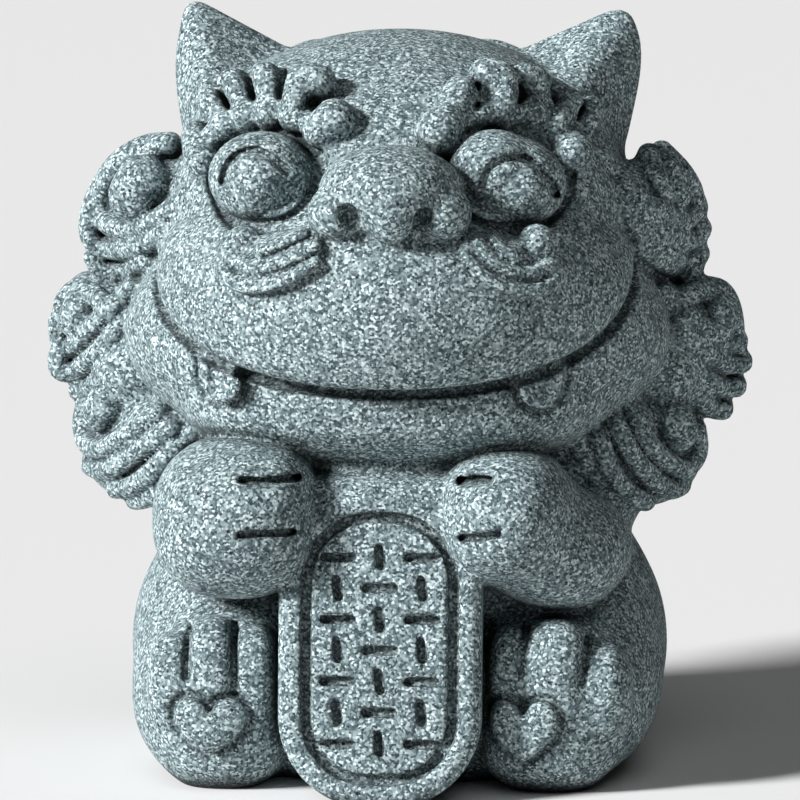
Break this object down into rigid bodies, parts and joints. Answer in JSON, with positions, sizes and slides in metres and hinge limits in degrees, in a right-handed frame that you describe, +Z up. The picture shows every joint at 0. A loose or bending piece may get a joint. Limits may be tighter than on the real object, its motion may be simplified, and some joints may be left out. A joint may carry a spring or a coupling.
{
  "type": "lion tea pet",
  "caption": "Small seated guardian lion with curled mane and wide grin, holding an upright oval tablet between its paws; one solid piece that stands on its flat underside.",
  "frame": {"origin": "centre of the footprint of the bounding box, at the underside it stands on", "axes": "+Z up, the lion's face looks along -Y, +X towards the viewer's right when looking at the face"},
  "size_m": [0.076, 0.0636, 0.0809],
  "materials": {
    "stone": "matte, fine speckled grey-green grain of pressed stone powder"
  },
  "bodies": {
    "root": {"lion": "stone"}
  },
  "joints": []
}
